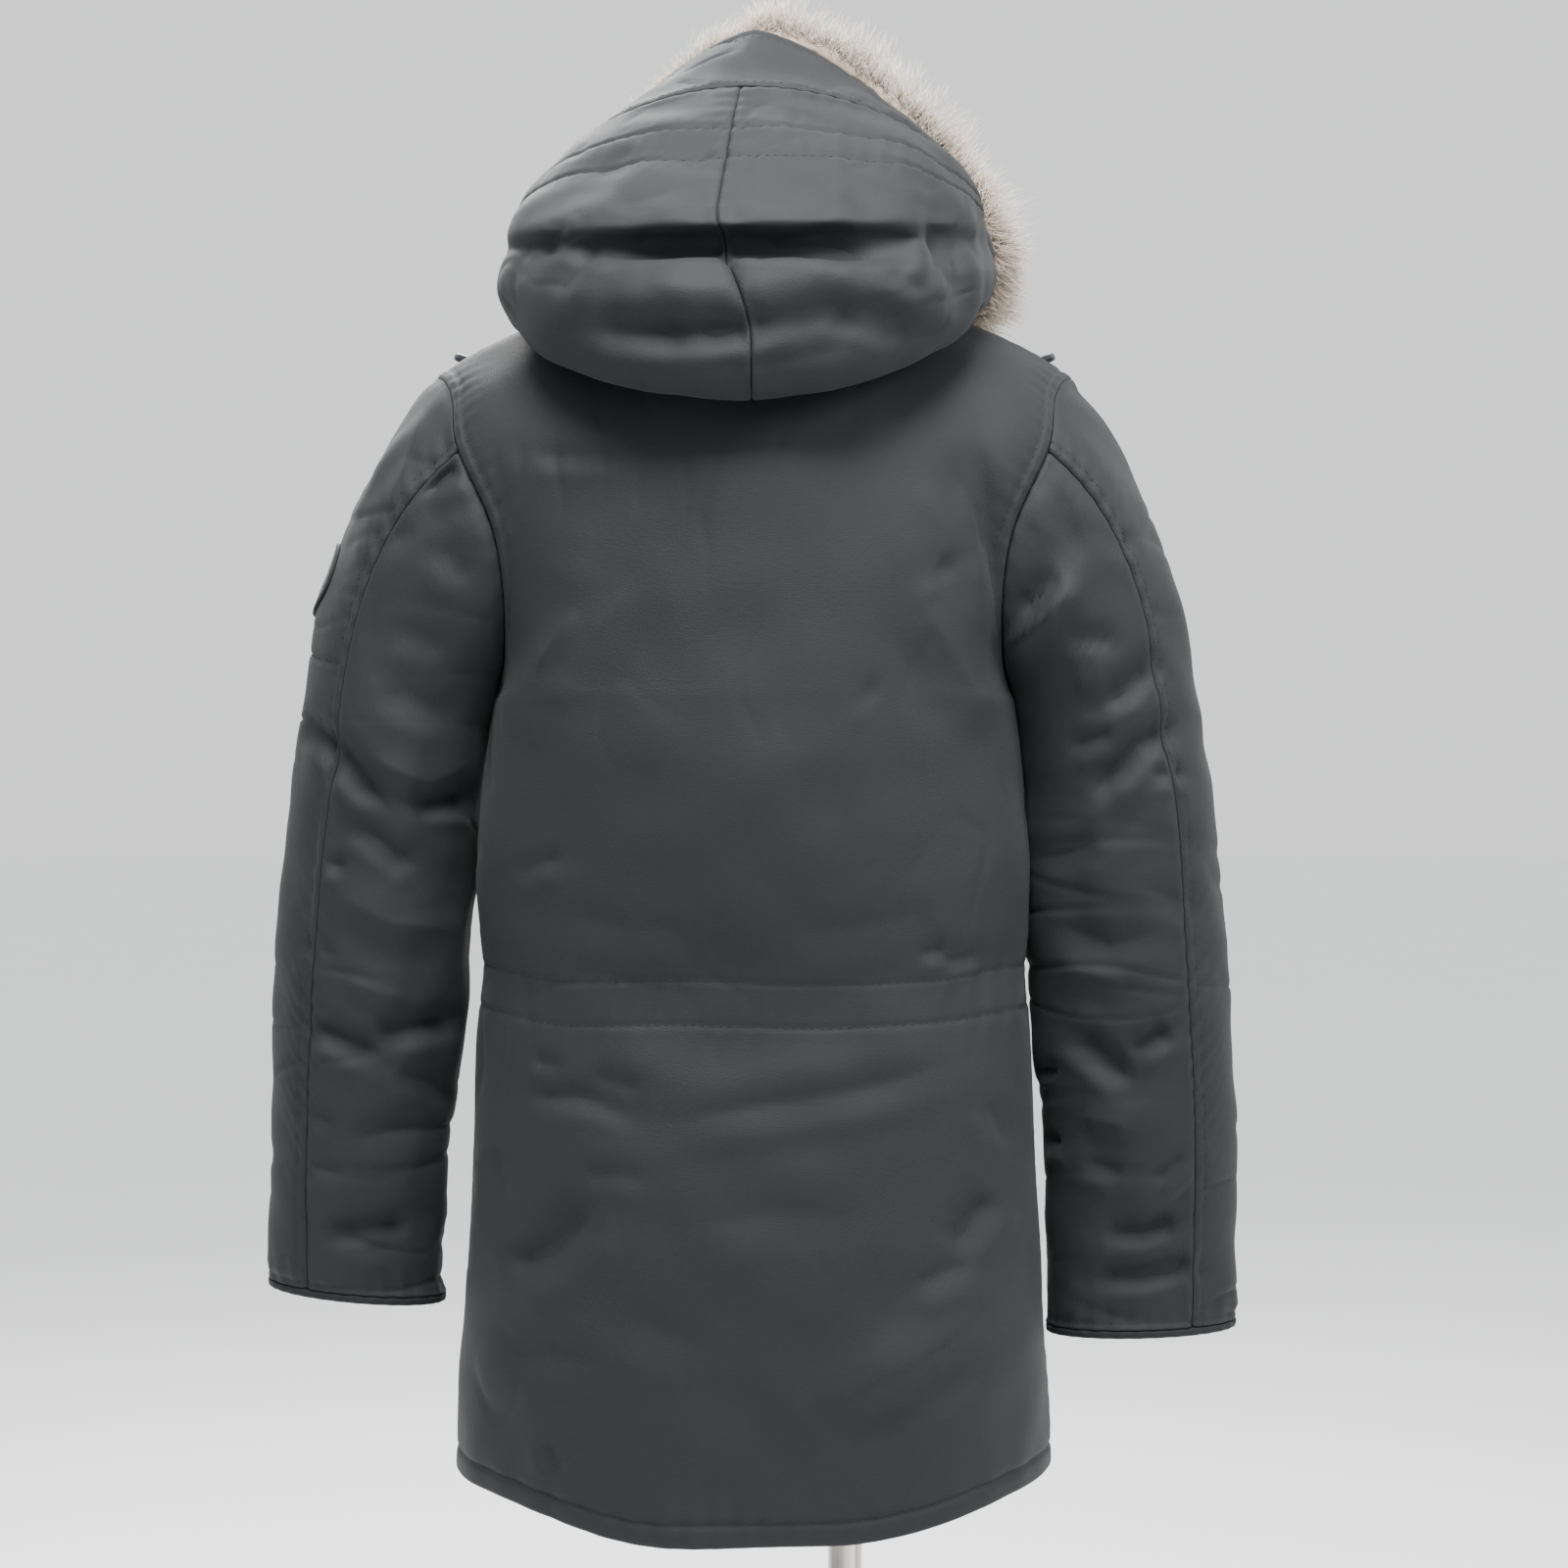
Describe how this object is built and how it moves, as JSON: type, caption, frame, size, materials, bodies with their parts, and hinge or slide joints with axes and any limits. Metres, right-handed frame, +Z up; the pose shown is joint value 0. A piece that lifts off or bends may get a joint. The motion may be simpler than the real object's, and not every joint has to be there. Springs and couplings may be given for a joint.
{
  "type": "hooded padded parka on a limbless dress form with a pole stand",
  "caption": "Hip-length padded parka with a fur-edged hood, filled out and hanging on a limbless dress form that stands on a round base with a pole.",
  "frame": {"origin": "on the floor, under the middle of the whole object's bounding box", "axes": "+Z up along the pole; the garment's front faces -Y and its back +Y; the wearer's left is +X"},
  "size_m": [0.7249, 0.3812, 1.6762],
  "materials": {
    "shell": "plain weave, matt",
    "binding": "woven tape",
    "patch": "bare woven disc",
    "fur": "long soft fur",
    "cord": "braided",
    "cord_end": "satin",
    "zip": "dark metal teeth",
    "form": "plain jersey cover",
    "wood": "turned, satin",
    "chrome": "polished"
  },
  "bodies": {
    "root": {"back": "shell", "front_left": "shell", "front_right": "shell", "sleeve_outer_left": "shell", "sleeve_outer_right": "shell", "sleeve_under_left": "shell", "sleeve_under_right": "shell", "pocket_left": "shell", "pocket_right": "shell", "pocket_flap_left": "shell", "pocket_flap_right": "shell", "hood_left": "shell", "hood_right": "shell", "hood_band": "shell", "collar": "shell", "storm_flap": "shell", "cuff_binding_left": "binding", "cuff_binding_right": "binding", "arm_patch": "patch", "fur_ruff": "fur", "hood_cord_left": "cord", "hood_cord_right": "cord", "cord_end_left": "cord_end", "cord_end_right": "cord_end", "zip": "zip", "dress_form": "form", "neck_cap": "wood", "pole": "chrome", "pole_socket": "chrome", "base_boss": "chrome", "base": "chrome"}
  },
  "joints": []
}
